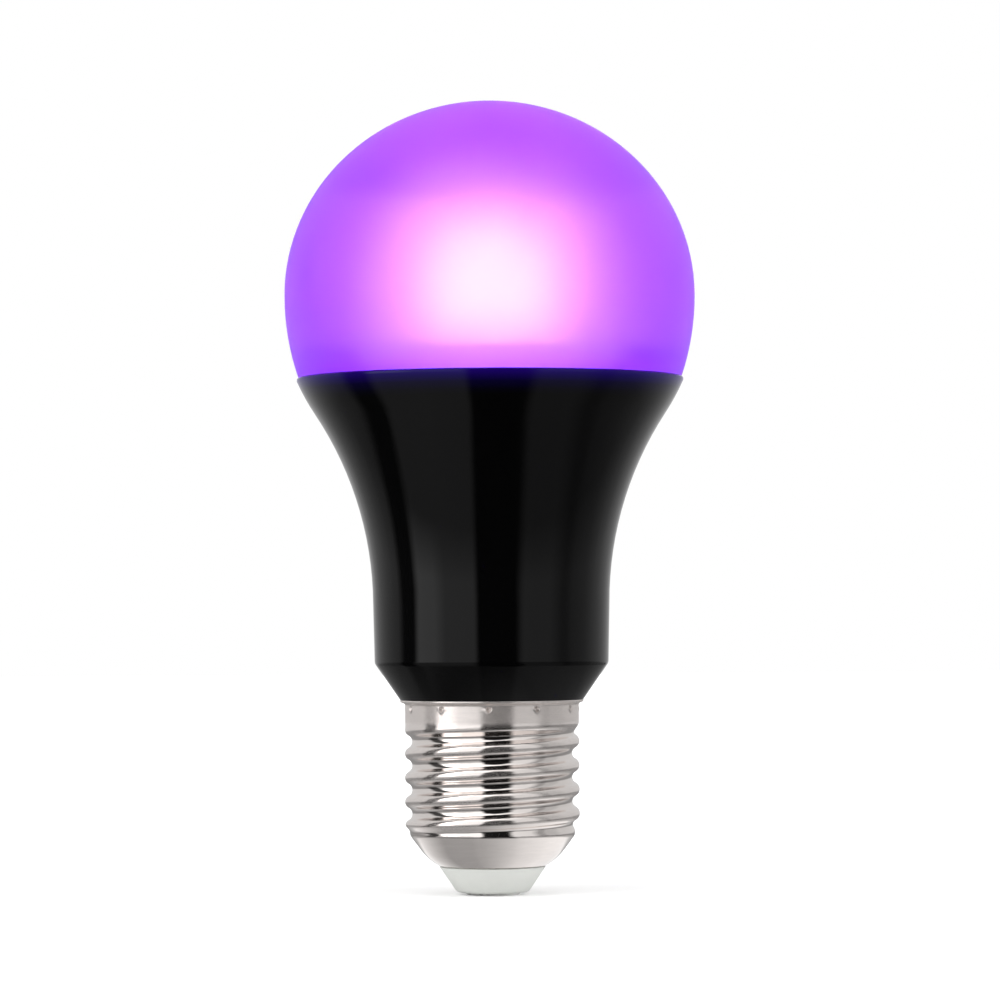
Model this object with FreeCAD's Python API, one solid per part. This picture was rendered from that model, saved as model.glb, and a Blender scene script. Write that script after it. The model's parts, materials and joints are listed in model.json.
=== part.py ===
import FreeCAD, Part
import math
import os

# LED black light lamp with a screw cap. Millimetres, +Z up along the lamp's axis.
# Height 0 is the lowest point of the centre contact. Radii are measured from the axis.

# Screw cap: one sheet with a flared lip, a collar, a rolled thread and a rounded shoulder
cap_height = 29.35
sheet = 0.3
collar_radius = 13.13
collar_length = 3.4
lip_flare = 0.72
lip_height = 0.75
thread_pitch = 3.629
thread_crest_rise = 0.07
thread_depth = 1.1
thread_length = 16.65
thread_end_drop = 0.68
thread_crest_drop = 8.1
thread_fade_top = 2.2
thread_fade_bottom = 1.4
shoulder_edge_radius = 1.0
shoulder_slope_angle = 36.5
shoulder_slope_length = 2.45
shoulder_arc_radius = 8.4
shoulder_hole_radius = 7.9
samples_per_turn = 48
samples_per_pitch = 14
seam_column_count = 4
wall_tolerance = 1e-4
point_tolerance = 1e-7

# Crimp marks that pin the cap to the neck, each from a punch with a small flat tip
crimp_count = 11
crimp_drop = 1.3
crimp_radius = 0.5
crimp_tip_radius = 0.2
crimp_depth = 0.4
crimp_turn = -92.0
punch_side_count = 6

# Insulator and centre contact
insulator_lap = 0.1
insulator_bottom_radius = 5.4
insulator_edge_radius = 0.9
insulator_flange_width = 1.7
insulator_flange_height = 3.3
contact_proud = 0.35
contact_radius = 4.2
contact_thickness = 0.8
contact_edge = 0.25
pin_radius = 1.1
pin_above_insulator = 0.5

# Housing: one black moulding with a flared top, a straight grip and a neck inside the cap
housing_length = 48.6
housing_wall = 1.6
rim_radius = 29.2
rim_wall = 1.95
rim_band = 0.5
rim_edge = 0.2
rim_flare_angle = 24.0
rim_flare_radius = 34.0
waist_radius = 17.85
grip_length = 8.95
grip_draft_angle = 1.3
grip_edge_radius = 1.2
chamfer_height = 5.5
neck_wall = 1.4
neck_foot_rise = 1.7
neck_step_drop = 0.25

# Diffuser dome: two elliptical arcs that meet at the widest place, and a skirt inside the rim
dome_radius = 31.0
dome_wall = 1.5
dome_rise = 29.4
dome_fall = 34.5
dome_waist_rise = 12.4
skirt_depth = 2.2
skirt_wall = 1.3
skirt_root_rise = 0.7
skirt_taper_rise = 3.7
snap_bead = 0.3

# Heat sink cup, LED board and emitters
cup_sheet = 1.0
cup_edge = 1.0
cup_hole_radius = 6.0
cup_foot_rise = 2.0
board_depth = 3.8
board_thickness = 1.0
board_margin = 0.7
board_slot_length = 7.0
board_slot_width = 3.0
emitter_count = 12
emitter_ring_radius = 14.5
emitter_length = 3.5
emitter_width = 2.8
emitter_height = 0.8
emitter_wall = 0.4
emitter_window_depth = 0.15
screw_ring_radius = 19.8
screw_head_radius = 2.2
screw_head_height = 1.4
screw_shank_radius = 1.2
screw_length = 5.0
screw_slot_width = 0.6
screw_slot_depth = 0.7

# Driver board on edge in the neck, with its parts
driver_side_gap = 1.05
driver_length = 47.5
driver_thickness = 1.2
driver_offset = -2.0
rib_width = 0.9
rib_reach = 1.2
rib_floor = 1.0
rib_top_drop = 3.2
can_radius = 4.0
input_can_length = 12.0
output_can_length = 14.0
can_edge = 0.5
lead_thickness = 0.6
lead_spacing = 3.5
lead_reach = 1.2
can_groove_depth = 0.4
can_groove_rise = 1.6
film_size = (4.6, 5.0, 9.0)
core_radius = 4.4
core_height = 8.5
core_flange = 1.2
core_post_radius = 2.2
winding_inset = 0.6
resistor_radius = 1.6
resistor_length = 7.0
resistor_edge = 0.5
bridge_size = (4.7, 2.4, 3.9)
bridge_lead_width = 0.7
bridge_lead_count = 2
chip_size = (4.9, 1.5, 3.9)
chip_lead_width = 0.4
chip_lead_count = 4
diode_size = (4.3, 2.1, 2.6)
diode_lead_width = 1.4
diode_lead_count = 1
flat_lead_length = 1.0
flat_lead_thickness = 0.3
header_size = (5.1, 2.5, 2.5)
pin_width = 0.64
pin_spacing = 2.54
pin_length = 16.0
socket_size = (9.0, 5.0, 3.2)

# Places on the driver board: sideways from the lamp's axis, and up from the board's foot
film_place = (0.0, 6.5)
resistor_place = (0.0, 15.0)
input_can_place = (-4.2, 22.0)
output_can_place = (4.2, 21.0)
inductor_place = (0.0, 40.6)
bridge_place = (0.0, 6.0)
chip_place = (0.0, 15.0)
diode_place = (-3.0, 23.0)
live_pad_side = -3.0
neutral_pad_inset = 1.2

# Clearances
slide_gap = 0.1
seat_gap = 0.15
wire_radius = 0.45
wire_bend_radius = 1.2
neck_wire_length = 6.0
live_wire_drop = 1.5

# Radii worked out from the sizes above
lip_radius = collar_radius + lip_flare
thread_crest_radius = collar_radius + thread_crest_rise
thread_root_radius = thread_crest_radius - thread_depth
thread_end_radius = collar_radius - thread_end_drop
insulator_top_radius = shoulder_hole_radius + insulator_lap
grip_foot_radius = waist_radius - grip_length * math.tan(math.radians(grip_draft_angle))
neck_collar_radius = collar_radius - sheet - slide_gap
neck_thread_radius = thread_root_radius - sheet - 2 * slide_gap
neck_bore_radius = neck_thread_radius - neck_wall
recess_radius = rim_radius - rim_wall
skirt_radius = recess_radius - slide_gap

# Heights worked out from the sizes above
rim_height = cap_height + housing_length
chamfer_top = cap_height + chamfer_height
waist_height = chamfer_top + grip_length
flank_top = rim_height - rim_band
thread_top = cap_height - collar_length
thread_foot = thread_top - thread_length
thread_crest_height = cap_height - thread_crest_drop
neck_foot_height = thread_foot + neck_foot_rise
neck_step_height = thread_top - neck_step_drop
rib_top_height = cap_height - rib_top_drop
dome_centre_height = rim_height + dome_waist_rise
skirt_foot = rim_height - skirt_depth
board_top = rim_height - board_depth
cup_top = board_top - board_thickness
driver_foot = neck_foot_height + rib_floor
driver_front = driver_offset + driver_thickness / 2
driver_back = driver_offset - driver_thickness / 2
driver_width = 2 * (math.sqrt(neck_bore_radius**2 - driver_back**2) - driver_side_gap)
neutral_pad_side = driver_width / 2 - rib_reach - wire_radius - neutral_pad_inset

axis_up = FreeCAD.Vector(0, 0, 1)
origin = FreeCAD.Vector(0, 0, 0)


def at(radius, height):
    return FreeCAD.Vector(radius, 0, height)


def bend(centre, radius, first_angle, last_angle):
    """Arc in the section plane, with the points where it starts and ends."""
    middle_angle = (first_angle + last_angle) / 2
    points = []
    for angle in (first_angle, middle_angle, last_angle):
        turn = math.radians(angle)
        points.append(centre + at(radius * math.cos(turn), radius * math.sin(turn)))
    return Part.Arc(*points).toShape(), points[0], points[2]


def oval(centre_height, radius, rise, first_angle, last_angle):
    """Arc of an ellipse centred on the axis, with the points where it starts and ends."""
    centre = at(0, centre_height)
    side = at(radius, centre_height)
    crown = at(0, centre_height + rise)
    ends = []
    for angle in (first_angle, last_angle):
        turn = math.radians(angle)
        ends.append(at(radius * math.cos(turn), centre_height + rise * math.sin(turn)))
    if radius >= rise:
        ellipse = Part.Ellipse(side, crown, centre)
    else:
        ellipse = Part.Ellipse(crown, side, centre)
    spans = sorted(ellipse.parameter(end) for end in ends)
    if spans[1] - spans[0] > math.pi:
        spans = [spans[1] - 2 * math.pi, spans[0]]
    return ellipse.toBSpline(*spans).toShape(), ends[0], ends[1]


def corner(before, point, after, radius):
    """Arc that rounds a corner between two straight runs."""
    back = (before - point).normalize()
    ahead = (after - point).normalize()
    half_angle = back.getAngle(ahead) / 2
    reach = radius / math.tan(half_angle)
    middle = (back + ahead).normalize()
    deep = radius / math.sin(half_angle) - radius
    first = point + back * reach
    last = point + ahead * reach
    return Part.Arc(first, point + middle * deep, last).toShape(), first, last


def joined(steps):
    """Edges along points and arcs, with straight lines between them."""
    edges = []
    here = None
    for step in steps:
        curve, first, last = step if isinstance(step, tuple) else (None, step, step)
        if here is not None and (first - here).Length > point_tolerance:
            edges.append(Part.LineSegment(here, first).toShape())
        if curve is not None:
            edges.append(curve)
        here = last
    return edges


def turned(steps):
    """Solid turned about the axis from a closed outline, given once round."""
    first = steps[0][1] if isinstance(steps[0], tuple) else steps[0]
    outline = Part.Wire(joined(steps + [first]))
    return Part.Face(outline).revolve(origin, axis_up, 360)


def disc(radius, thickness, height, x=0.0, y=0.0):
    return Part.makeCylinder(radius, thickness, FreeCAD.Vector(x, y, height))


def block(size, centre):
    """Box from its size and its centre."""
    width, depth, height = size
    low = FreeCAD.Vector(centre[0] - width / 2, centre[1] - depth / 2, centre[2] - height / 2)
    return Part.makeBox(width, depth, height, low)


def ring_copies(shape, count, first_angle=0.0):
    """Copies of a shape, evenly spaced about the axis."""
    copies = []
    for number in range(count):
        copy = shape.copy()
        copy.rotate(origin, axis_up, first_angle + 360.0 * number / count)
        copies.append(copy)
    return copies


def wire_along(points, radius, bend_radius):
    """Round wire along straight runs joined by tangent arcs."""
    route = [points[0]]
    for before, point, after in zip(points, points[1:], points[2:]):
        route.append(corner(before, point, after, bend_radius))
    route.append(points[-1])
    path = Part.Wire(joined(route))
    start = (points[1] - points[0]).normalize()
    section = Part.Wire(Part.makeCircle(radius, points[0], start))
    return path.makePipeShell([section], True, False)


# The flank is a hollow arc up from the waist and a full arc that ends at the rim.
# Both arcs are tangent to each other, the first to the grip and the second to the rim angle.
flank_rise = flank_top - waist_height
flank_out = rim_radius - waist_radius
rim_sine = math.sin(math.radians(rim_flare_angle))
rim_cosine = math.cos(math.radians(rim_flare_angle))
flank_turn = 2 * math.atan(
    (flank_out + rim_flare_radius * (1 - rim_cosine)) / (flank_rise + rim_flare_radius * rim_sine)
)
hollow_radius = (flank_rise + rim_flare_radius * rim_sine) / math.sin(flank_turn) - rim_flare_radius
hollow_centre = at(waist_radius + hollow_radius, waist_height)
full_centre = at(rim_radius - rim_flare_radius * rim_cosine, flank_top + rim_flare_radius * rim_sine)


def flank(inset, top, foot):
    """Arcs of the flank from one height down to another, that far inside its outer face."""
    hollow = hollow_radius + inset
    full = rim_flare_radius - inset
    meeting_height = waist_height + hollow * math.sin(flank_turn)
    foot_angle = 180 - math.degrees(math.asin((foot - waist_height) / hollow))
    if top <= meeting_height:
        top_angle = 180 - math.degrees(math.asin((top - waist_height) / hollow))
        return [bend(hollow_centre, hollow, top_angle, foot_angle)]
    turn = math.degrees(flank_turn)
    top_angle = math.degrees(math.asin((top - full_centre.z) / full))
    return [
        bend(full_centre, full, top_angle, -turn),
        bend(hollow_centre, hollow, 180 - turn, foot_angle),
    ]


def flank_radius(inset, height):
    """Radius of the flank at a height, that far inside its outer face."""
    return flank(inset, height, waist_height)[0][1].x


# The shoulder runs from the thread's foot over a small edge and a slope into one large arc.
slope_turn = math.radians(shoulder_slope_angle)
slope_out = at(math.cos(slope_turn), -math.sin(slope_turn))
slope_down = at(-math.sin(slope_turn), -math.cos(slope_turn))
shoulder_edge_centre = at(thread_end_radius - shoulder_edge_radius, thread_foot)
shoulder_arc_reach = shoulder_edge_radius - shoulder_arc_radius
shoulder_arc_centre = (
    shoulder_edge_centre + slope_out * shoulder_arc_reach + slope_down * shoulder_slope_length
)


def shoulder_arc(inset, first_angle, last_radius):
    """Arc of the shoulder, that far inside its outer face, down to a radius."""
    radius = shoulder_arc_radius - inset
    last_angle = math.degrees(math.acos((last_radius - shoulder_arc_centre.x) / radius))
    return bend(shoulder_arc_centre, radius, -first_angle, -last_angle)


def shoulder(inset):
    """Cap shoulder from the thread's foot down to the hole, that far inside its outer face."""
    return [
        bend(shoulder_edge_centre, shoulder_edge_radius - inset, 0, -shoulder_slope_angle),
        shoulder_arc(inset, shoulder_slope_angle, shoulder_hole_radius),
    ]


shoulder_hole_height = shoulder(0)[-1][2].z
insulator_flange_top = shoulder_hole_height + insulator_flange_height
pin_top = insulator_flange_top + pin_above_insulator


def eased(share):
    """Smooth step from 0 to 1."""
    share = min(max(share, 0.0), 1.0)
    return share * share * (3 - 2 * share)


def thread_radius(turn, height):
    """Outer radius of the rolled thread: round crests and roots that fade out at both ends."""
    depth = thread_crest_radius - thread_root_radius
    half_pitch = thread_pitch / 2
    round_radius = (half_pitch**2 + depth**2) / (4 * depth)
    phase = (height - thread_crest_height) / thread_pitch - (turn - 0.5)
    off_crest = abs((phase + 0.5) % 1 - 0.5) * thread_pitch
    if off_crest <= half_pitch / 2:
        radius = thread_crest_radius - round_radius + math.sqrt(round_radius**2 - off_crest**2)
    else:
        off_root = half_pitch - off_crest
        radius = thread_root_radius + round_radius - math.sqrt(round_radius**2 - off_root**2)
    upper = eased((thread_top - height) / thread_fade_top)
    lower = eased((height - thread_foot) / thread_fade_bottom)
    radius = collar_radius + (radius - collar_radius) * upper
    return thread_end_radius + (radius - thread_end_radius) * lower


def thread_face(inset):
    """One wall of the thread: a smooth surface, sampled a little past one turn and cut to it."""
    rows = round(thread_length / thread_pitch * samples_per_pitch)
    grid = []
    for column in range(-seam_column_count, samples_per_turn + seam_column_count + 1):
        turn = column / samples_per_turn
        line = []
        for row in range(rows + 1):
            height = thread_foot + thread_length * row / rows
            radius = thread_radius(turn, height) - inset
            angle = 2 * math.pi * turn
            line.append(FreeCAD.Vector(radius * math.cos(angle), radius * math.sin(angle), height))
        grid.append(line)
    surface = Part.BSplineSurface()
    surface.interpolate(grid)
    knots = surface.getUKnots()
    low, high = surface.bounds()[2:]
    first, last = knots[seam_column_count], knots[seam_column_count + samples_per_turn]
    surface.segment(first, last, low, high)
    return surface.toShape()


def thread_band():
    """The threaded zone alone: both walls, closed by a flat ring at each end."""
    walls = [thread_face(0), thread_face(sheet)]
    ends = []
    for pick in (min, max):
        rims = []
        for wall in walls:
            circles = [edge for edge in wall.Edges if edge.isClosed()]
            rims.append(Part.Wire([pick(circles, key=lambda edge: edge.BoundBox.ZMin)]))
        ends.append(Part.makeFace(rims, "Part::FaceMakerBullseye"))
    skin = Part.makeShell(walls + ends)
    skin.sewShape(wall_tolerance)
    return Part.makeSolid(skin)


def lip_and_collar():
    """Ring from the thread's top, out over the lip and back inside to the thread's top."""
    lip_foot = cap_height - lip_height
    lip_turn = math.atan2(lip_radius - collar_radius, lip_height - sheet)
    bend_rise = sheet * math.tan(lip_turn / 2)
    return turned(
        [
            at(collar_radius, thread_top),
            at(collar_radius, lip_foot),
            at(lip_radius, cap_height - sheet),
            at(lip_radius, cap_height),
            at(lip_radius - sheet, cap_height),
            at(collar_radius - sheet, lip_foot + bend_rise),
            at(collar_radius - sheet, thread_top),
        ]
    )


def cap_foot():
    """Ring from the thread's foot, down the shoulder to its hole and back inside."""
    inner = [(curve, last, first) for curve, first, last in reversed(shoulder(sheet))]
    return turned(shoulder(0) + inner)


def crimp_punches(spread):
    """Punches at the crimp marks, that much larger all round."""
    height = cap_height - crimp_drop
    ends = []
    for reach, radius in (
        (collar_radius + crimp_depth, 2 * crimp_radius - crimp_tip_radius),
        (collar_radius - crimp_depth - spread, crimp_tip_radius),
    ):
        corners = []
        for number in range(punch_side_count + 1):
            turn = 2 * math.pi * (number % punch_side_count) / punch_side_count
            side = (radius + spread) * math.cos(turn)
            up = (radius + spread) * math.sin(turn)
            corners.append(FreeCAD.Vector(reach, side, height + up))
        ends.append(Part.makePolygon(corners))
    return ring_copies(Part.makeLoft(ends, True, True), crimp_count, crimp_turn)


def screw_shell():
    inside = disc(collar_radius, collar_length, thread_top)
    dents = [punch.common(inside) for punch in crimp_punches(sheet)]
    lip = lip_and_collar().fuse(dents).cut(Part.makeCompound(crimp_punches(0)))
    return thread_band().fuse([lip, cap_foot()], wall_tolerance)


def insulator():
    """Cone below the cap, with a plug through the hole and a flange that seats inside the shoulder."""
    cone_top = shoulder_hole_height - slide_gap
    plug_radius = shoulder_hole_radius - slide_gap
    flange_radius = plug_radius + insulator_flange_width
    seat_radius = shoulder_arc_radius - sheet - slide_gap
    seat_angle = math.degrees(math.acos((flange_radius - shoulder_arc_centre.x) / seat_radius))
    seat, seat_top, seat_foot = shoulder_arc(sheet + slide_gap, seat_angle, plug_radius)
    bore = pin_radius + slide_gap
    recess = contact_radius + slide_gap
    cone_foot = at(insulator_bottom_radius, contact_proud)
    cone_head = at(insulator_top_radius, cone_top)
    return turned(
        [
            at(bore, contact_thickness),
            at(recess, contact_thickness),
            at(recess, contact_proud),
            corner(at(recess, contact_proud), cone_foot, cone_head, insulator_edge_radius),
            cone_head,
            at(plug_radius, cone_top),
            (seat, seat_foot, seat_top),
            at(flange_radius, insulator_flange_top),
            at(bore, insulator_flange_top),
        ]
    )


def centre_contact():
    """Round head under the insulator, with a pin up its bore."""
    return turned(
        [
            origin,
            at(contact_radius - contact_edge, 0),
            at(contact_radius, contact_edge),
            at(contact_radius, contact_thickness),
            at(pin_radius, contact_thickness),
            at(pin_radius, pin_top),
            at(0, pin_top),
        ]
    )


def neck_ribs():
    """Two pairs of ribs that hold the driver board's edges, each with a floor under it."""
    outer = neck_bore_radius + (neck_thread_radius - neck_bore_radius) / 2
    inner = driver_width / 2 - rib_reach
    middle = (inner + outer) / 2
    spacing = driver_thickness / 2 + slide_gap + rib_width / 2
    length = rib_top_height - neck_foot_height
    ribs = []
    for side in (-1, 1):
        for face in (-1, 1):
            centre = (side * middle, driver_offset + face * spacing, neck_foot_height + length / 2)
            ribs.append(block((outer - inner, rib_width, length), centre))
        floor = (side * middle, driver_offset, neck_foot_height + rib_floor / 2)
        ribs.append(block((outer - inner, 2 * spacing, rib_floor), floor))
    ring = disc(outer, length, neck_foot_height)
    return [rib.common(ring) for rib in ribs]


def housing():
    chamfer_turn = math.atan((grip_foot_radius - lip_radius) / chamfer_height)
    wall_across = housing_wall / math.cos(chamfer_turn)
    bore_radius = waist_radius - housing_wall
    cone_foot = cap_height + (neck_bore_radius + wall_across - lip_radius) / math.tan(chamfer_turn)
    cone_top = cone_foot + (bore_radius - neck_bore_radius) / math.tan(chamfer_turn)
    waist = at(waist_radius, waist_height)
    grip_foot = at(grip_foot_radius, chamfer_top)
    chamfer_foot = at(lip_radius, cap_height)
    ledge = skirt_foot - slide_gap
    inner_flank = [(curve, last, first) for curve, first, last in flank(housing_wall, ledge, waist_height)]
    snap_height = (skirt_foot + rim_height) / 2
    stake_radius = collar_radius - sheet - crimp_depth - slide_gap
    stake_height = cap_height - crimp_drop
    stake_half = crimp_tip_radius + crimp_radius + sheet
    body = turned(
        [
            at(recess_radius, rim_height),
            at(rim_radius - rim_edge, rim_height),
            at(rim_radius, rim_height - rim_edge),
            *flank(0, flank_top, waist_height),
            corner(waist, grip_foot, chamfer_foot, grip_edge_radius),
            chamfer_foot,
            at(neck_collar_radius, cap_height),
            at(neck_collar_radius, stake_height + stake_half),
            at(stake_radius, stake_height + stake_half),
            at(stake_radius, stake_height - stake_half),
            at(neck_collar_radius, stake_height - stake_half),
            at(neck_collar_radius, neck_step_height),
            at(neck_thread_radius, neck_step_height),
            at(neck_thread_radius, neck_foot_height),
            at(neck_bore_radius, neck_foot_height),
            at(neck_bore_radius, cone_foot),
            at(bore_radius, cone_top),
            *reversed(inner_flank),
            at(recess_radius, ledge),
            at(recess_radius, snap_height - snap_bead),
            at(recess_radius + snap_bead, snap_height),
            at(recess_radius, snap_height + snap_bead),
        ]
    )
    slot_radius = wire_radius + slide_gap
    slot_length = neck_wire_length + slide_gap
    wire_slot = disc(slot_radius, slot_length, neck_foot_height, *neutral_slot_place())
    return body.fuse(neck_ribs()).cut(wire_slot)


def neutral_slot_place():
    """Where the neutral wire runs up between the neck and the cap: beside the driver board."""
    reach = thread_root_radius - sheet - slide_gap - wire_radius
    return math.sqrt(reach**2 - driver_offset**2), driver_offset


def diffuser_dome():
    """Hollow cover with a skirt, thickened where the skirt begins."""
    inner_radius = dome_radius - dome_wall
    inner_fall = dome_fall - dome_wall
    foot_angle = math.degrees(math.asin(dome_waist_rise / dome_fall))
    taper_angle = math.degrees(math.asin((dome_waist_rise - skirt_taper_rise) / inner_fall))
    skirt_bore = skirt_radius - skirt_wall
    snap_height = (skirt_foot + rim_height) / 2
    return turned(
        [
            oval(dome_centre_height, dome_radius, dome_rise, 90, 0),
            oval(dome_centre_height, dome_radius, dome_fall, 0, -foot_angle),
            at(skirt_radius, rim_height),
            at(skirt_radius, snap_height + snap_bead),
            at(skirt_radius + snap_bead, snap_height),
            at(skirt_radius, snap_height - snap_bead),
            at(skirt_radius, skirt_foot),
            at(skirt_bore, skirt_foot),
            at(skirt_bore, rim_height + skirt_root_rise),
            oval(dome_centre_height, inner_radius, inner_fall, -taper_angle, 0),
            oval(dome_centre_height, inner_radius, dome_rise - dome_wall, 0, 90),
        ]
    )


def screw_places():
    return [(0, -screw_ring_radius), (0, screw_ring_radius)]


def screw_holes(thickness, height):
    radius = screw_shank_radius + slide_gap
    return [disc(radius, thickness, height, x, y) for x, y in screw_places()]


def heat_sink_cup():
    """Spun cup under the LED board, close to the housing's inner wall."""
    outer = housing_wall + seat_gap
    inner = outer + cup_sheet
    foot = waist_height + cup_foot_rise
    edge_foot = cup_top - cup_edge
    plate_foot = cup_top - cup_sheet
    inner_side = [(curve, last, first) for curve, first, last in flank(inner, edge_foot - cup_sheet, foot)]
    cup = turned(
        [
            at(cup_hole_radius, cup_top),
            at(flank_radius(outer, edge_foot) - cup_edge, cup_top),
            *flank(outer, edge_foot, foot),
            *reversed(inner_side),
            at(flank_radius(inner, edge_foot - cup_sheet) - cup_edge, plate_foot),
            at(cup_hole_radius, plate_foot),
        ]
    )
    return cup.cut(Part.makeCompound(screw_holes(cup_sheet, plate_foot)))


def led_board():
    """Round board with screw holes and a slot for the header's pins."""
    radius = flank_radius(housing_wall + seat_gap, cup_top) - board_margin
    slot_centre = (0, driver_offset, cup_top + board_thickness / 2)
    slot = block((board_slot_length, board_slot_width, board_thickness), slot_centre)
    holes = screw_holes(board_thickness, cup_top) + [slot]
    return disc(radius, board_thickness, cup_top).cut(Part.makeCompound(holes))


def emitters():
    """Packages in a ring, each with a shallow window in its top."""
    body_centre = (emitter_ring_radius, 0, board_top + emitter_height / 2)
    body = block((emitter_width, emitter_length, emitter_height), body_centre)
    window_height = board_top + emitter_height - emitter_window_depth / 2
    window = block(
        (emitter_width - 2 * emitter_wall, emitter_length - 2 * emitter_wall, emitter_window_depth),
        (emitter_ring_radius, 0, window_height),
    )
    return ring_copies(body.cut(window), emitter_count)


def socket():
    """Two-way socket on the LED board, over the slot, with a square hole for each pin."""
    height = socket_size[2]
    body = block(socket_size, (0, driver_offset, board_top + height / 2))
    bore = pin_width + 2 * slide_gap
    for side in (-1, 1):
        hole_centre = (side * pin_spacing / 2, driver_offset, board_top + height / 2)
        body = body.cut(block((bore, bore, height), hole_centre))
    return body


def pin_header():
    """Plastic bar on the driver board's head, with two square pins up into the socket."""
    foot = driver_foot + driver_length
    body = block(header_size, (0, driver_offset, foot + header_size[2] / 2))
    for side in (-1, 1):
        pin_centre = (side * pin_spacing / 2, driver_offset, foot + pin_length / 2)
        body = body.fuse(block((pin_width, pin_width, pin_length), pin_centre))
    return body


def board_screws():
    screws = []
    for x, y in screw_places():
        shank = disc(screw_shank_radius, screw_length, board_top - screw_length, x, y)
        head = disc(screw_head_radius, screw_head_height, board_top, x, y)
        slot_centre = (x, y, board_top + screw_head_height - screw_slot_depth / 2)
        slot = block((2 * screw_head_radius, screw_slot_width, screw_slot_depth), slot_centre)
        screws.append(head.fuse(shank).cut(slot))
    return Part.makeCompound(screws)


def driver_board():
    centre = (0, driver_offset, driver_foot + driver_length / 2)
    return block((driver_width, driver_thickness, driver_length), centre)


def bent_lead(x, height):
    """Lead down from a can's base along its axis, then back to the driver board's face."""
    middle = driver_front + can_radius
    foot = height - lead_reach
    run_centre = (x, middle, (height + foot) / 2)
    back_centre = (x, (driver_front + middle + lead_thickness / 2) / 2, foot)
    run = block((lead_thickness, lead_thickness, lead_reach), run_centre)
    return run.fuse(block((lead_thickness, can_radius + lead_thickness / 2, lead_thickness), back_centre))


def can(length, place):
    """Electrolytic can that lies along the board, with a groove above its base and two leads."""
    side, rise = place
    base = driver_foot + rise
    body = turned(
        [
            origin,
            at(can_radius, 0),
            at(can_radius, can_groove_rise - can_groove_depth),
            at(can_radius - can_groove_depth, can_groove_rise),
            at(can_radius, can_groove_rise + can_groove_depth),
            at(can_radius, length - can_edge),
            at(can_radius - can_edge, length),
            at(0, length),
        ]
    )
    body.translate(FreeCAD.Vector(side, driver_front + can_radius, base))
    for lead in (-1, 1):
        lead_x = side + lead * lead_spacing / 2
        body = body.fuse(bent_lead(lead_x, base))
    return body


def film_capacitor():
    side, rise = film_place
    return block(film_size, (side, driver_front + film_size[1] / 2, driver_foot + rise))


def drum(radius, length, out):
    """Cylinder square to the driver board at the inductor's place."""
    side, rise = inductor_place
    foot = FreeCAD.Vector(side, driver_front + out, driver_foot + rise)
    return Part.makeCylinder(radius, length, foot, FreeCAD.Vector(0, 1, 0))


def inductor_core():
    post = drum(core_post_radius, core_height, 0)
    flanges = [drum(core_radius, core_flange, 0), drum(core_radius, core_flange, core_height - core_flange)]
    return post.fuse(flanges)


def inductor_winding():
    length = core_height - 2 * core_flange
    outer = drum(core_radius - winding_inset, length, core_flange)
    return outer.cut(drum(core_post_radius, length, core_flange))


def fusible_resistor():
    """Round body across the board, with a lead from each end down to the board."""
    side, rise = resistor_place
    height = driver_foot + rise
    centre_y = driver_front + resistor_radius
    body = turned(
        [
            origin,
            at(resistor_radius - resistor_edge, 0),
            at(resistor_radius, resistor_edge),
            at(resistor_radius, resistor_length - resistor_edge),
            at(resistor_radius - resistor_edge, resistor_length),
            at(0, resistor_length),
        ]
    )
    body.rotate(origin, FreeCAD.Vector(0, 1, 0), 90)
    body.translate(FreeCAD.Vector(side - resistor_length / 2, centre_y, height))
    for lead in (-1, 1):
        end = side + lead * resistor_length / 2
        far = end + lead * lead_reach
        run = block((lead_reach, lead_thickness, lead_thickness), ((end + far) / 2, centre_y, height))
        drop_depth = resistor_radius + lead_thickness / 2
        drop_centre = (far, driver_front + drop_depth / 2, height)
        drop = block((lead_thickness, drop_depth, lead_thickness), drop_centre)
        body = body.fuse([run, drop])
    return body


def chip(size, place, lead_count, lead_width):
    """Moulded chip on the board's back, with that many flat leads out of each side."""
    width, depth, height = size
    side, rise = place
    middle = driver_foot + rise
    body = block(size, (side, driver_back - depth / 2, middle))
    pitch = height / lead_count
    for hand in (-1, 1):
        for number in range(lead_count):
            lead_x = side + hand * (width + flat_lead_length) / 2
            lead_z = middle + (number + 0.5) * pitch - height / 2
            centre = (lead_x, driver_back - flat_lead_thickness / 2, lead_z)
            body = body.fuse(block((flat_lead_length, flat_lead_thickness, lead_width), centre))
    return body


def live_wire():
    """From the driver board's foot to the top of the contact pin."""
    pad = FreeCAD.Vector(live_pad_side, driver_offset, driver_foot)
    over_pin = FreeCAD.Vector(0, 0, pin_top)
    drop = axis_up * live_wire_drop
    route = [pad, pad - drop, over_pin + drop, over_pin]
    return wire_along(route, wire_radius, wire_bend_radius)


def neutral_wire():
    """From the driver board's foot, under the neck's edge and up its slot beside the cap."""
    slot_x, slot_y = neutral_slot_place()
    turn_height = neck_foot_height - wire_bend_radius
    route = [
        FreeCAD.Vector(neutral_pad_side, driver_offset, driver_foot),
        FreeCAD.Vector(neutral_pad_side, driver_offset, turn_height),
        FreeCAD.Vector(slot_x, slot_y, turn_height),
        FreeCAD.Vector(slot_x, slot_y, neck_foot_height + neck_wire_length),
    ]
    return wire_along(route, wire_radius, wire_bend_radius)


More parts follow.
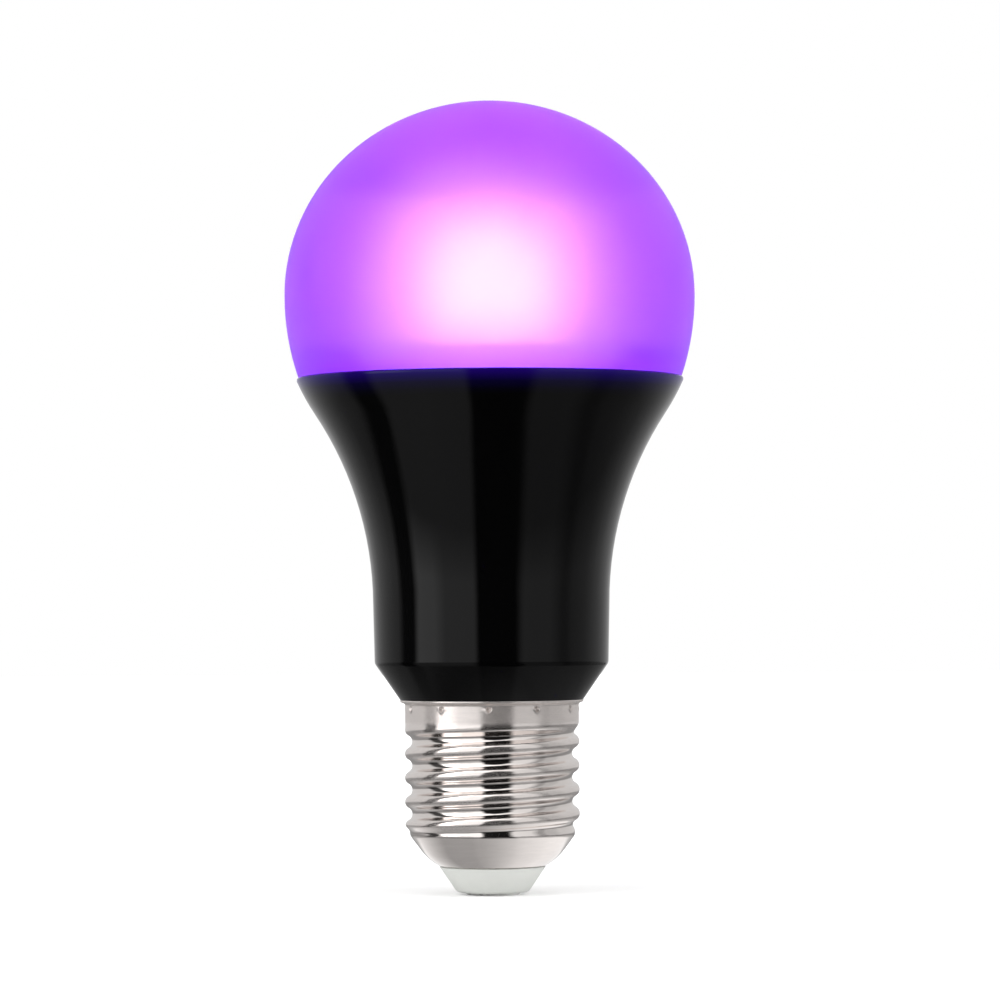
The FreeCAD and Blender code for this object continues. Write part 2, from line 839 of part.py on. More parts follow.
nodes = {
    "diffuser_dome": diffuser_dome(),
    "housing": housing(),
    "heat_sink_cup": heat_sink_cup(),
    "led_board": led_board(),
    "board_screws": board_screws(),
    "led_socket": socket(),
    "pin_header": pin_header(),
    "driver_board": driver_board(),
    "input_capacitor": can(input_can_length, input_can_place),
    "output_capacitor": can(output_can_length, output_can_place),
    "film_capacitor": film_capacitor(),
    "inductor_core": inductor_core(),
    "inductor_winding": inductor_winding(),
    "fusible_resistor": fusible_resistor(),
    "bridge_rectifier": chip(bridge_size, bridge_place, bridge_lead_count, bridge_lead_width),
    "driver_chip": chip(chip_size, chip_place, chip_lead_count, chip_lead_width),
    "flyback_diode": chip(diode_size, diode_place, diode_lead_count, diode_lead_width),
    "live_wire": live_wire(),
    "neutral_wire": neutral_wire(),
    "screw_shell": screw_shell(),
    "insulator": insulator(),
    "centre_contact": centre_contact(),
}
for number, emitter in enumerate(emitters(), start=1):
    nodes[f"led_{number:02d}"] = emitter

os.makedirs("parts", exist_ok=True)
for name, shape in nodes.items():
    shape.exportStep(f"parts/{name}.step")
    solids = len(shape.Solids)
    print(f"{name}: {solids} solid, valid {shape.isValid()}, {shape.Volume:.1f} mm3")
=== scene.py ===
import bpy
import json
import math
from mathutils import Matrix, Vector


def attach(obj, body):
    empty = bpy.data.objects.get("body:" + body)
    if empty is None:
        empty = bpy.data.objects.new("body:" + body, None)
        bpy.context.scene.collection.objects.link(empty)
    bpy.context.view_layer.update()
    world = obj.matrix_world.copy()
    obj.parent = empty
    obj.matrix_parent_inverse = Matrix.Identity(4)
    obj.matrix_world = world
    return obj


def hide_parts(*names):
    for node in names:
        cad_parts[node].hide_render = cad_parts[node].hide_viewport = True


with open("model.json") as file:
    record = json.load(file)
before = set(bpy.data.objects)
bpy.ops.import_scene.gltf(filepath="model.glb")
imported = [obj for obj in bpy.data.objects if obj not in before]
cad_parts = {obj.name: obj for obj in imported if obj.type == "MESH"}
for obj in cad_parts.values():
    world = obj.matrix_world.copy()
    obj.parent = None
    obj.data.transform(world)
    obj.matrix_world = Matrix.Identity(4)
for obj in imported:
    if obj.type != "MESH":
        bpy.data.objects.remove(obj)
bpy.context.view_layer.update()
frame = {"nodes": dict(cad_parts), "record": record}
nodes = frame["nodes"]
print("frame loaded:", len(nodes), "nodes")

nodeGap = 180  # between nodes in the editor


def deselectAll():
    for item in bpy.context.selected_objects:
        item.select_set(False)
    bpy.context.view_layer.objects.active = None


def addNode(tree, kind, inputs=None, **settings):  # an input is either a socket to link or a plain value
    made = tree.nodes.new(kind)
    made.location = (nodeGap * len(tree.nodes), 0)
    for name, value in settings.items():
        setattr(made, name, value)
    for name, value in (inputs or {}).items():
        if isinstance(value, bpy.types.NodeSocket):
            tree.links.new(value, made.inputs[name])
        else:
            made.inputs[name].default_value = value
    return made


def mathNode(tree, operation, *values, clamp=False):
    made = addNode(tree, "ShaderNodeMath", dict(enumerate(values)), operation=operation, use_clamp=clamp)
    return made.outputs[0]


def vectorNode(tree, operation, *values):
    return addNode(tree, "ShaderNodeVectorMath", dict(enumerate(values)), operation=operation).outputs


def mixNode(tree, share, first, second):
    return addNode(tree, "ShaderNodeMix", {0: share, 2: first, 3: second}).outputs[0]


def spanNode(tree, source, first, last, low=0.0, high=1.0):  # carries first to last over to low to high
    return addNode(tree, "ShaderNodeMapRange", {0: source, 1: first, 2: last, 3: low, 4: high}).outputs[0]


def rampNode(tree, source, stops, blend="LINEAR"):
    ramp = addNode(tree, "ShaderNodeValToRGB", {0: source})
    ramp.color_ramp.interpolation = blend
    elements = ramp.color_ramp.elements
    while len(elements) > 1:
        elements.remove(elements[-1])
    for number, (place, value) in enumerate(stops):
        stop = elements[0] if number == 0 else elements.new(place)
        stop.position = place
        stop.color = (value, value, value, 1) if isinstance(value, (int, float)) else (*value, 1)
    return ramp.outputs[0]


def newGroup(name, inputs, outputs):
    tree = bpy.data.node_groups.new(name, "ShaderNodeTree")
    for label, kind, value in inputs:
        socket = tree.interface.new_socket(name=label, in_out="INPUT", socket_type=kind)
        if value is not None:
            socket.default_value = value
    for label, kind in outputs:
        tree.interface.new_socket(name=label, in_out="OUTPUT", socket_type=kind)
    return tree, addNode(tree, "NodeGroupInput"), addNode(tree, "NodeGroupOutput")


def useGroup(tree, group, inputs):
    return addNode(tree, "ShaderNodeGroup", inputs, node_tree=group)


# what gloss and metal see: panels left and right, a dark gap in front, white behind;
# each list holds degrees and brightness, around from the front to the right, or upward from the horizon
studioSet = {
    "around": [
        (-180, 0.65), (-102, 0.62), (-94, 0.06), (-81, 0.06), (-74, 1.0), (-56, 1.15), (-46, 1.2),
        (-11, 1.15), (28, 0.85), (38, 0.8), (58, 0.76), (67, 0.5), (72, 0.34), (78, 0.34), (84, 0.48),
        (102, 0.5), (114, 0.6), (180, 0.65),
    ],
    "upward": [
        (-90, 1.0), (-69, 1.0), (-64, 0.5), (-54, 0.42), (-22, 0.46), (-8, 1.0), (45, 1.0), (70, 1.35),
        (90, 1.4),
    ],
    "floorAround": [
        (-180, 1.1), (-130, 1.2), (-101, 0.85), (-63, 0.44), (-24, 0.46), (5, 0.66), (40, 1.0), (80, 1.2),
        (180, 1.2),
    ],
    "floorFrom": -46, "floorFull": -62,  # between these the floor takes over
    "strip": [(-180, 0), (-80, 0), (-74, 1), (-56, 0.85), (-45, 0), (180, 0)],  # brighter, to the left
    "stripUpward": [(-90, 0), (-22, 0), (-9, 1), (90, 1)],
    "gap": [(-180, 0), (-17, 0), (-11, 1), (22, 1), (33, 0), (180, 0)],
    "gapUpward": [(-90, 0), (-72, 0.05), (-60, 0.6), (-54, 0.99), (52, 0.99), (70, 0.1), (90, 0)],
    "lensWide": [(-180, 0), (-45, 0), (0, 1), (10, 1), (62, 0), (180, 0)],  # the gap narrows upward
    "lensUpward": [(-90, 1), (5, 1), (60, 0), (90, 0)],
    "lensEdge": 3.0,
    "plain": 0.55,  # what matt surfaces get from the world
}


def angleRamp(tree, angle, reach, stops, blend="LINEAR"):
    share = spanNode(tree, angle, math.radians(-reach), math.radians(reach))
    return rampNode(tree, share, [((turn + reach) / (2 * reach), value) for turn, value in stops], blend)


def makeStudioPanels():
    values = studioSet
    tree, inside, outside = newGroup(
        "studioPanels", [("Vector", "NodeSocketVector", None)], [("Value", "NodeSocketFloat")],
    )
    axes = addNode(tree, "ShaderNodeSeparateXYZ", {0: vectorNode(tree, "NORMALIZE", inside.outputs[0])[0]})
    turn = mathNode(tree, "ARCTAN2", axes.outputs[0], mathNode(tree, "MULTIPLY", axes.outputs[1], -1.0))
    rise = mathNode(tree, "ARCSINE", axes.outputs[2])

    def around(name, blend="LINEAR"):
        return angleRamp(tree, turn, 180, values[name], blend)

    def upward(name, blend="LINEAR"):
        return angleRamp(tree, rise, 90, values[name], blend)

    low = spanNode(tree, rise, math.radians(values["floorFrom"]), math.radians(values["floorFull"]))
    ring = mixNode(tree, low, around("around"), around("floorAround"))
    strip = mathNode(tree, "MULTIPLY", around("strip"), upward("stripUpward"))
    light = mathNode(tree, "MULTIPLY_ADD", ring, upward("upward"), strip)
    lens = mathNode(tree, "ADD", around("lensWide"), upward("lensUpward"))
    lens = mathNode(tree, "MULTIPLY_ADD", lens, values["lensEdge"], -values["lensEdge"], clamp=True)
    gap = mathNode(tree, "MULTIPLY", around("gap", "EASE"), upward("gapUpward", "EASE"))
    shown = mathNode(tree, "SUBTRACT", 1.0, mathNode(tree, "MULTIPLY", gap, lens))
    tree.links.new(mathNode(tree, "MULTIPLY", light, shown), outside.inputs["Value"])
    return tree


studioPanels = makeStudioPanels()


def seenByGloss(tree, path):
    return mathNode(tree, "MAXIMUM", path.outputs["Is Glossy Ray"], path.outputs["Is Transmission Ray"])


def makeWorld():
    world = bpy.data.worlds.new("studio")
    world.use_nodes = True
    bpy.context.scene.world = world
    tree = world.node_tree
    tree.nodes.clear()
    path = addNode(tree, "ShaderNodeLightPath")
    way = addNode(tree, "ShaderNodeTexCoord")
    panels = useGroup(tree, studioPanels, {"Vector": way.outputs["Generated"]})
    gloss = seenByGloss(tree, path)
    light = mixNode(tree, gloss, studioSet["plain"], panels.outputs["Value"])
    shown = mixNode(tree, path.outputs["Is Camera Ray"], light, 1.0)  # plain white behind the lamp
    back = addNode(tree, "ShaderNodeBackground", {"Color": (1, 1, 1, 1), "Strength": shown})
    addNode(tree, "ShaderNodeOutputWorld", {0: back.outputs[0]})


floorSet = {
    "side": 4.0, "albedo": 0.82,
    "lift": 0.3, "liftFrom": 0.15, "liftTo": 0.5,  # lifted to white far from the lamp, for the camera
    "foot": 0.74, "footShadowFrom": 0.012, "footShadowTo": 0.05,  # a painted shadow: darker near the lamp, as gloss and metal see the floor
    "eye": 0.06,  # the height from which the panels light the floor
}


def makeFloor():
    values = floorSet
    deselectAll()
    bpy.ops.mesh.primitive_plane_add(size=values["side"], location=(0, 0, 0))
    floor = bpy.context.object
    floor.name = "floor"
    finish = bpy.data.materials.new("floorPaint")
    finish.use_nodes = True
    tree = finish.node_tree
    tree.nodes.clear()
    path = addNode(tree, "ShaderNodeLightPath")
    place = addNode(tree, "ShaderNodeTexCoord").outputs["Object"]
    reach = vectorNode(tree, "LENGTH", place)["Value"]
    far = spanNode(tree, reach, values["liftFrom"], values["liftTo"], values["lift"])
    raised = addNode(tree, "ShaderNodeEmission", {
        "Strength": mathNode(tree, "MULTIPLY", path.outputs["Is Camera Ray"], far),
    })
    paint = addNode(tree, "ShaderNodeBsdfDiffuse", {"Color": (values["albedo"],) * 3 + (1,)})
    lit = addNode(tree, "ShaderNodeAddShader", {0: paint.outputs[0], 1: raised.outputs[0]})
    way = vectorNode(tree, "SUBTRACT", place, (0, 0, values["eye"]))[0]
    panels = useGroup(tree, studioPanels, {"Vector": way})
    # painted shadow round the lamp's foot, in what gloss and metal see
    foot = spanNode(tree, reach, values["footShadowFrom"], values["footShadowTo"], values["foot"])
    seen = addNode(tree, "ShaderNodeEmission", {
        "Strength": mathNode(tree, "MULTIPLY", panels.outputs["Value"], foot),
    })
    gloss = seenByGloss(tree, path)
    pick = addNode(tree, "ShaderNodeMixShader", {0: gloss, 1: lit.outputs[0], 2: seen.outputs[0]})
    addNode(tree, "ShaderNodeOutputMaterial", {0: pick.outputs[0]})
    floor.data.materials.append(finish)


lampSet = {
    "overhead": {"at": (0.0, -0.15, 0.9), "side": 0.8, "watts": 5.0},
    "left": {"at": (-0.7, -0.5, 0.45), "side": 0.6, "watts": 4.0},
    "right": {"at": (0.7, -0.45, 0.4), "side": 0.6, "watts": 3.0},
}
lampAim = Vector((0, 0, 0.05))


def addLamp(name, kind, at, watts):
    data = bpy.data.lights.new(name, kind)
    data.energy = watts
    lamp = bpy.data.objects.new(name, data)
    bpy.context.scene.collection.objects.link(lamp)
    lamp.location = at
    return lamp


def makeLamps():
    for name, values in lampSet.items():
        lamp = addLamp(name, "AREA", values["at"], values["watts"])
        lamp.data.shape = "SQUARE"
        lamp.data.size = values["side"]
        lamp.rotation_euler = (lampAim - lamp.location).to_track_quat("-Z", "Y").to_euler()
        lamp.visible_glossy = False
        lamp.visible_camera = False
        lamp.visible_transmission = False


glowSet = {
    "heights": (0.0975, 0.0895), "ring": 0.007, "count": 8,  # the heights take turns round the ring
    "radius": 0.003, "watts": 0.212, "colour": (0.34, 1.0, 0.63),
}


def makeInnerGlow():  # the light that fills the lit dome
    values = glowSet
    for number in range(values["count"]):
        turn = 2 * math.pi * number / values["count"]
        height = values["heights"][number % 2]
        at = (values["ring"] * math.cos(turn), values["ring"] * math.sin(turn), height)
        lamp = addLamp(f"glow{number + 1}", "POINT", at, values["watts"])
        lamp.data.shadow_soft_size = values["radius"]
        lamp.data.color = values["colour"]


cameraSet = {
    "at": (0.0014, -0.66, 0.044), "aim": (0.0014, 0.0, 0.05945), "roll": -0.33,  # roll in degrees
    "lens": 157.3, "sensor": 36, "near": 0.01,
}


def makeCamera():
    data = bpy.data.cameras.new("camera")
    data.lens = cameraSet["lens"]
    data.sensor_width = cameraSet["sensor"]
    data.clip_start = cameraSet["near"]
    camera = bpy.data.objects.new("camera", data)
    bpy.context.scene.collection.objects.link(camera)
    camera.location = cameraSet["at"]
    turn = (Vector(cameraSet["aim"]) - camera.location).to_track_quat("-Z", "Y").to_matrix()
    roll = Matrix.Rotation(math.radians(cameraSet["roll"]), 3, turn @ Vector((0, 0, 1)))
    camera.rotation_euler = (roll @ turn).to_euler()
    bpy.context.scene.camera = camera


makeWorld()
makeFloor()
makeLamps()
makeInnerGlow()
makeCamera()
bpy.context.scene.view_settings.view_transform = "Standard"
print("studio made")


grainSet = {"detail": 4.0, "rough": 0.6, "low": 0.3, "high": 0.7, "relief": 0.0002}


def makeSurfaceGrain():
    tree, inside, outside = newGroup(
        "surfaceGrain",
        [
            ("Scale", "NodeSocketFloat", 900.0), ("Stretch", "NodeSocketVector", (1, 1, 1)),
            ("Low", "NodeSocketFloat", 0.3), ("High", "NodeSocketFloat", 0.5),
        ],
        [("Value", "NodeSocketFloat"), ("Height", "NodeSocketFloat")],
    )
    place = addNode(tree, "ShaderNodeTexCoord")
    noise = addNode(tree, "ShaderNodeTexNoise", {
        "Vector": vectorNode(tree, "MULTIPLY", place.outputs["Object"], inside.outputs["Stretch"])[0],
        "Scale": inside.outputs["Scale"], "Detail": grainSet["detail"], "Roughness": grainSet["rough"],
    })
    low, high = inside.outputs["Low"], inside.outputs["High"]
    value = spanNode(tree, noise.outputs[0], grainSet["low"], grainSet["high"], low, high)
    tree.links.new(value, outside.inputs["Value"])
    tree.links.new(noise.outputs[0], outside.inputs["Height"])
    return tree


surfaceGrain = makeSurfaceGrain()


def newFinish(name, sockets):
    finish = bpy.data.materials.new(name)
    finish.use_nodes = True
    shader = finish.node_tree.nodes["Principled BSDF"]
    for label, value in sockets.items():
        shader.inputs[label].default_value = value
    return finish, finish.node_tree, shader


def grainFinish(name, colour, rough, scale, bump, shade, sockets=None, stretch=(1, 1, 1)):
    finish, tree, shader = newFinish(name, sockets or {})
    grain = useGroup(tree, surfaceGrain, {"Scale": scale, "Stretch": stretch})
    if rough:
        grain.inputs["Low"].default_value, grain.inputs["High"].default_value = rough
        tree.links.new(grain.outputs["Value"], shader.inputs["Roughness"])
    height = grain.outputs["Height"]
    darker = tuple(part * (1 - shade) for part in colour)
    tint = rampNode(tree, height, [(grainSet["low"], darker), (grainSet["high"], colour)])
    tree.links.new(tint, shader.inputs["Base Color"])
    relief = addNode(tree, "ShaderNodeBump", {
        "Height": height, "Strength": bump, "Distance": grainSet["relief"],
    })
    tree.links.new(relief.outputs[0], shader.inputs["Normal"])
    return finish, tree, shader


def heightMask(tree, low, high):  # 0 below the low height, 1 above the high one
    place = addNode(tree, "ShaderNodeTexCoord")
    axes = addNode(tree, "ShaderNodeSeparateXYZ", {0: place.outputs["Object"]})
    return spanNode(tree, axes.outputs[2], low, high)


domeSet = {
    "foot": 0.0785, "top": 0.1198,
    "milkAndPaintedShade": [  # height in metres, and the wall's milky tint there, darker toward the foot as painted shade near the rim
        (0.0785, (0.2, 0.03, 0.8)), (0.0801, (0.255, 0.042, 0.83)), (0.0811, (0.29, 0.051, 0.85)),
        (0.0825, (0.35, 0.06, 0.87)), (0.0845, (0.4, 0.065, 0.88)), (0.0885, (0.42, 0.065, 0.9)),
        (0.106, (0.42, 0.065, 0.9)), (0.1198, (0.55, 0.075, 0.9)),
    ],
    "glow": [  # height in metres, and how strongly the wall itself glows there
        (0.0785, 0.12), (0.0792, 0.12), (0.0801, 0.107), (0.0811, 0.09), (0.0825, 0.067), (0.0845, 0.05),
        (0.0865, 0.045), (0.1198, 0.045),
    ],
    "glowColour": (1.0, 0.06, 0.9), "tint": (0.7, 0.1, 1.0),
    "rough": 0.66, "ior": 1.46, "coat": 0.35, "coatRough": 0.3,
}


def makeDomeFinish():
    values = domeSet
    finish, tree, shader = newFinish("milkyDome", {
        "Roughness": values["rough"], "IOR": values["ior"], "Transmission Weight": 1.0,
        "Coat Weight": values["coat"], "Coat Roughness": values["coatRough"],
        "Emission Color": (*values["glowColour"], 1), "Specular Tint": (*values["tint"], 1),
    })
    low, high = values["foot"], values["top"]
    rise = heightMask(tree, low, high)
    # the tint by height holds painted shade: darker toward the foot, near the rim
    for name, socket in (("milkAndPaintedShade", "Base Color"), ("glow", "Emission Strength")):
        stops = [((height - low) / (high - low), value) for height, value in values[name]]
        tree.links.new(rampNode(tree, rise, stops), shader.inputs[socket])
    return finish


housingSet = {
    "colour": (0.0009, 0.0009, 0.001), "rough": (0.04, 0.07), "grain": 350.0, "bump": 0.008, "shade": 0.1,
    "specular": 0.18,
    "spill": (0.075, 0.004, 1.0), "spillFoot": 0.0742, "spillHead": 0.07795, "spillStrength": 0.13,
    "spillFade": [(0, 0.0), (0.2, 0.02), (0.5, 0.12), (0.7, 0.42), (0.9, 0.8), (1, 1.0)],
}


def makeHousingFinish():  # gloss black, with the dome's light spilling over the rim
    values = housingSet
    finish, tree, shader = grainFinish(
        "glossBlack", values["colour"], values["rough"], values["grain"], values["bump"], values["shade"],
        {"Specular IOR Level": values["specular"], "Emission Color": (*values["spill"], 1)},
    )
    rise = heightMask(tree, values["spillFoot"], values["spillHead"])
    fade = rampNode(tree, rise, values["spillFade"])
    strength = mathNode(tree, "MULTIPLY", fade, values["spillStrength"])
    tree.links.new(strength, shader.inputs["Emission Strength"])
    return finish


nickelSet = {
    "colour": (0.945, 0.885, 0.855), "shade": 0.05, "grain": 240.0, "stretch": (1, 1, 7), "bump": 0.1,
    "polish": 0.045, "haze": 0.62, "speck": 60000.0, "speckEdge": 30.0,  # specks are polished or hazy
    "hazeFrom": 0.01225, "hazeTo": 0.01315, "rootShare": 0.16, "crestShare": 0.38,  # radii, hazy shares
    "collarFoot": 0.0256, "collarHead": 0.0262, "collarShare": 0.54, "collarPolish": 0.13,
}


def makeNickelFinish():  # bright plate, with the most haze on the crests and the collar
    values = nickelSet
    finish, tree, shader = grainFinish(
        "nickelPlate", values["colour"], None, values["grain"], values["bump"], values["shade"],
        {"Metallic": 1.0}, values["stretch"],
    )
    place = addNode(tree, "ShaderNodeTexCoord").outputs["Object"]
    specks = addNode(tree, "ShaderNodeTexNoise", {"Vector": place, "Scale": values["speck"], "Detail": 0.0})
    reach = vectorNode(tree, "LENGTH", vectorNode(tree, "MULTIPLY", place, (1, 1, 0))[0])["Value"]
    share = spanNode(
        tree, reach, values["hazeFrom"], values["hazeTo"], values["rootShare"], values["crestShare"],
    )
    collar = heightMask(tree, values["collarFoot"], values["collarHead"])
    share = mixNode(tree, collar, share, values["collarShare"])
    polish = mixNode(tree, collar, values["polish"], values["collarPolish"])
    over = mathNode(tree, "SUBTRACT", share, specks.outputs[0])
    hazy = mathNode(tree, "MULTIPLY_ADD", over, values["speckEdge"], 0.5, clamp=True)
    tree.links.new(spanNode(tree, hazy, 0.0, 1.0, polish, values["haze"]), shader.inputs["Roughness"])
    return finish


finishSet = {  # name, colour, roughness from and to, grain scale, bump, shade, other sockets, stretch
    "insulator": (
        "paleInsulator", (0.785, 0.8, 0.765), (0.4, 0.5), 700, 0.02, 0.03, {"Specular IOR Level": 0.3},
    ),
    "contact": ("tinnedContact", (0.55, 0.55, 0.53), (0.2, 0.35), 900, 0.05, 0.1, {"Metallic": 1.0}),
    "bare_aluminium": ("spunAluminium", (0.76, 0.76, 0.77), (0.25, 0.4), 900, 0.03, 0.08, {"Metallic": 1.0}),
    "led_board": ("whiteMask", (0.86, 0.86, 0.84), (0.35, 0.5), 900, 0.02, 0.03),
    "steel": ("zincSteel", (0.62, 0.62, 0.6), (0.25, 0.4), 1500, 0.05, 0.1, {"Metallic": 1.0}),
    "white_plastic": ("whitePlastic", (0.8, 0.8, 0.77), (0.35, 0.5), 1500, 0.03, 0.05),
    "black_plastic": ("blackPlastic", (0.03, 0.03, 0.03), (0.35, 0.5), 1500, 0.05, 0.15),
    "circuit_board": ("greenBoard", (0.05, 0.2, 0.09), (0.25, 0.4), 1500, 0.05, 0.25),
    "can": ("canSleeve", (0.05, 0.05, 0.07), (0.2, 0.35), 900, 0.02, 0.1),
    "film_capacitor": ("dippedFilm", (0.55, 0.14, 0.07), (0.25, 0.35), 900, 0.05, 0.1),
    "ferrite": ("ferrite", (0.09, 0.09, 0.1), (0.45, 0.65), 2500, 0.15, 0.2),
    "copper": ("copperWire", (0.72, 0.34, 0.17), (0.2, 0.35), 1200, 0.4, 0.3, {"Metallic": 0.9}, (1, 8, 1)),
    "resistor": ("coatedResistor", (0.24, 0.42, 0.5), (0.3, 0.45), 1200, 0.05, 0.1),
    "wire": ("wireSleeve", (0.75, 0.72, 0.66), (0.4, 0.55), 1500, 0.03, 0.08),
}
ledSet = {
    "Base Color": (0.8, 0.6, 0.95, 1), "Roughness": 0.4,
    "Emission Color": (0.8, 0.68, 1.0, 1), "Emission Strength": 8.0,
}

finishes = {"dome": makeDomeFinish(), "housing": makeHousingFinish(), "nickel": makeNickelFinish()}
for slot, values in finishSet.items():
    finishes[slot] = grainFinish(*values)[0]
finishes["emitter"] = newFinish("litEmitter", ledSet)[0]

slotOf = {part["node"]: part["material_slot"] for part in frame["record"]["subparts"]}
for name, item in nodes.items():
    item.data.materials.clear()
    item.data.materials.append(finishes[slotOf[name]])
print("finishes made:", len(finishes))


crimpSet = {  # the marks under the lip; sizes in metres, turns in degrees
    "count": 11, "turn": -92, "drop": 0.0012, "size": 0.00043, "depth": 0.00038, "burr": 0.00013,
    "flat": 0.95, "slant": (0.87, 0.5), "spread": 0.62,  # a rounded triangle, with its flat side up
    "pitEdge": 1.5, "burrAt": 1.75, "burrWide": 0.3,  # in spreads from the middle
    "fineStep": 0.00009, "fineColumns": 14, "wideColumns": 12,
}


def eased(share):
    share = min(max(share, 0.0), 1.0)
    return share * share * (3 - 2 * share)


def crimpPush(side, up):  # how far a mark pushes the sheet in, with a burr below it
    crimp = crimpSet
    across, down = side * crimp["slant"][0], up * crimp["slant"][1]
    corner = max(up * crimp["flat"], across - down, -across - down)
    reach = (corner + math.hypot(side, up)) / 2 / (crimp["size"] * crimp["spread"])
    pit = eased(crimp["pitEdge"] - reach) * crimp["depth"]
    ridge = math.exp(-((reach - crimp["burrAt"]) / crimp["burrWide"])**2)
    return ridge * eased(0.5 - up / crimp["size"]) * crimp["burr"] - pit


capSet = {
    "top": 0.02935, "sheet": 0.0003, "collarRadius": 0.01313, "collarLength": 0.0034,
    "lipRadius": 0.01385, "lipHeight": 0.00075, "lipRound": 0.00008, "flare": 0.85,
    "pitch": 0.003629, "crestRadius": 0.0132, "rootRadius": 0.0121, "endRadius": 0.01245,
    "threadLength": 0.01665, "crestDrop": 0.0081, "fadeTop": 0.0022, "fadeBottom": 0.0014,
    "edgeRadius": 0.001, "slopeTurn": 36.5, "slopeLength": 0.00245,
    "archRadius": 0.0084, "holeRadius": 0.0079,
    "flareRows": 4, "collarRows": 26, "threadRows": 92, "edgeRows": 6,
    "innerThreadRows": 60, "innerEdgeRows": 3, "smoothTurn": 50,
}
threadTop = capSet["top"] - capSet["collarLength"]
threadFoot = threadTop - capSet["threadLength"]


def threadRadius(turn, height):  # round crests and roots, faded out at both ends
    cap = capSet
    depth = cap["crestRadius"] - cap["rootRadius"]
    half = cap["pitch"] / 2
    bow = (half**2 + depth**2) / (4 * depth)
    phase = (height - cap["top"] + cap["crestDrop"]) / cap["pitch"] - (turn - 0.5)
    off = abs((phase + 0.5) % 1 - 0.5) * cap["pitch"]
    if off <= half / 2:
        radius = cap["crestRadius"] - bow + math.sqrt(bow**2 - off**2)
    else:
        radius = cap["rootRadius"] + bow - math.sqrt(bow**2 - (half - off)**2)
    upper = eased((threadTop - height) / cap["fadeTop"])
    lower = eased((height - threadFoot) / cap["fadeBottom"])
    radius = cap["collarRadius"] + (radius - cap["collarRadius"]) * upper
    return cap["endRadius"] + (radius - cap["endRadius"]) * lower


def capColumns():  # angles round the cap, and how far each lies from its crimp mark
    crimp, radius = crimpSet, capSet["collarRadius"]
    fineCount, wideCount = crimp["fineColumns"], crimp["wideColumns"]
    sector = 2 * math.pi / crimp["count"]
    fine = crimp["fineStep"] * fineCount / 2 / radius
    offsets = [fine * (2 * step / fineCount - 1) for step in range(fineCount)]
    offsets += [fine + (sector - 2 * fine) * step / wideCount for step in range(wideCount)]
    columns = []
    for number in range(crimp["count"]):
        middle = math.radians(crimp["turn"]) + sector * number
        columns += [(middle + offset, min(offset, sector - offset) * radius) for offset in offsets]
    return columns


def arcRows(middle, radius, turns):
    across, height = middle
    return [("plain", across + radius * math.cos(turn), height + radius * math.sin(turn)) for turn in turns]


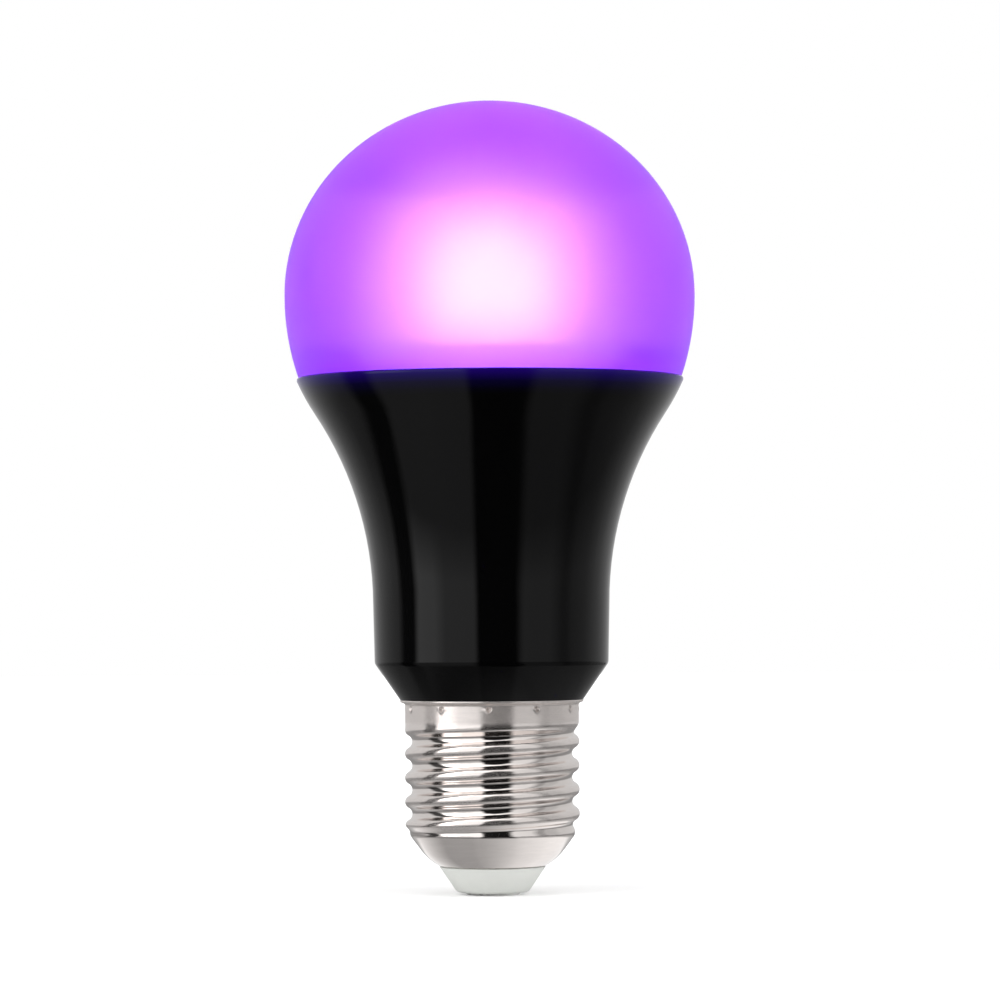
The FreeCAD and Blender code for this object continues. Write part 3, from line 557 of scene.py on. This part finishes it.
def capWall(inset, threadRows, edgeRows):  # kind, radius and height down one wall, lip to hole
    cap = capSet
    lipFoot = cap["top"] - cap["lipHeight"]
    if inset == 0:  # the outer wall goes round the lip's two edges
        across = cap["lipRadius"] - cap["lipRound"]
        upper, lower = cap["top"] - cap["lipRound"], cap["top"] - cap["sheet"] + cap["lipRound"]
        down = [math.radians(turn) for turn in (90, 60, 30, 0, -30, -60)]
        rows = arcRows((across, upper), cap["lipRound"], down[:4])
        rows += arcRows((across, lower), cap["lipRound"], down[3:])
    else:
        rows = [("plain", cap["lipRadius"] - cap["sheet"], cap["top"])]
    for step in range(cap["flareRows"] + 1):
        left = 1 - step / cap["flareRows"]
        across = (cap["lipRadius"] - cap["collarRadius"]) * cap["flare"] * left**2
        above = (cap["lipHeight"] - cap["sheet"]) * cap["flare"] * left
        rows.append(("plain", cap["collarRadius"] - inset + across, lipFoot + above))
    for step in range(1, cap["collarRows"] + 1):  # closer together near the marks
        share = step / cap["collarRows"]
        height = lipFoot + (threadTop - lipFoot) * share * (1 + share) / 2
        rows.append(("collar", cap["collarRadius"] - inset, height))
    for step in range(1, threadRows):
        rows.append(("thread", inset, threadTop + (threadFoot - threadTop) * step / threadRows))
    edge = (cap["endRadius"] - cap["edgeRadius"], threadFoot)
    slope = math.radians(cap["slopeTurn"])
    turns = [-slope * step / edgeRows for step in range(edgeRows + 1)]
    rows += arcRows(edge, cap["edgeRadius"] - inset, turns)
    inward = cap["edgeRadius"] - cap["archRadius"]
    arch = (
        edge[0] + math.cos(slope) * inward - math.sin(slope) * cap["slopeLength"],
        edge[1] - math.sin(slope) * inward - math.cos(slope) * cap["slopeLength"],
    )
    radius = cap["archRadius"] - inset
    last = math.acos((cap["holeRadius"] - arch[0]) / radius)
    archRows = 2 * edgeRows
    turns = [-slope - (last - slope) * step / archRows for step in range(archRows + 1)]
    return rows + arcRows(arch, radius, turns)


def makeScrewCap():
    cap = capSet
    columns = capColumns()
    rows = capWall(0, cap["threadRows"], cap["edgeRows"])
    rows += reversed(capWall(cap["sheet"], cap["innerThreadRows"], cap["innerEdgeRows"]))
    middle = cap["top"] - crimpSet["drop"]
    points = []
    for kind, across, height in rows:
        for angle, side in columns:
            radius = across
            if kind == "thread":
                radius = threadRadius((angle / (2 * math.pi)) % 1, height) - across
            elif kind == "collar":
                radius += crimpPush(side, height - middle)
            points.append((radius * math.cos(angle), radius * math.sin(angle), height))
    count, total = len(columns), len(rows)
    faces = []
    for row in range(total):
        first, below = row * count, (row + 1) % total * count
        for column in range(count):
            after = (column + 1) % count
            faces.append((first + column, below + column, below + after, first + after))
    shape = bpy.data.meshes.new("screwCap")
    shape.from_pydata(points, [], faces)
    shape.validate()
    piece = bpy.data.objects.new("screwCap", shape)
    bpy.context.scene.collection.objects.link(piece)
    deselectAll()
    piece.select_set(True)
    bpy.context.view_layer.objects.active = piece
    bpy.ops.object.mode_set(mode="EDIT")
    bpy.ops.mesh.select_all(action="SELECT")
    bpy.ops.mesh.normals_make_consistent(inside=False)
    bpy.ops.object.mode_set(mode="OBJECT")
    bpy.ops.object.shade_smooth_by_angle(angle=math.radians(cap["smoothTurn"]))
    piece.data.materials.append(finishes["nickel"])
    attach(piece, "root")
    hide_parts("screw_shell")
    print("screw cap made:", len(faces) * 2, "triangles")


makeScrewCap()
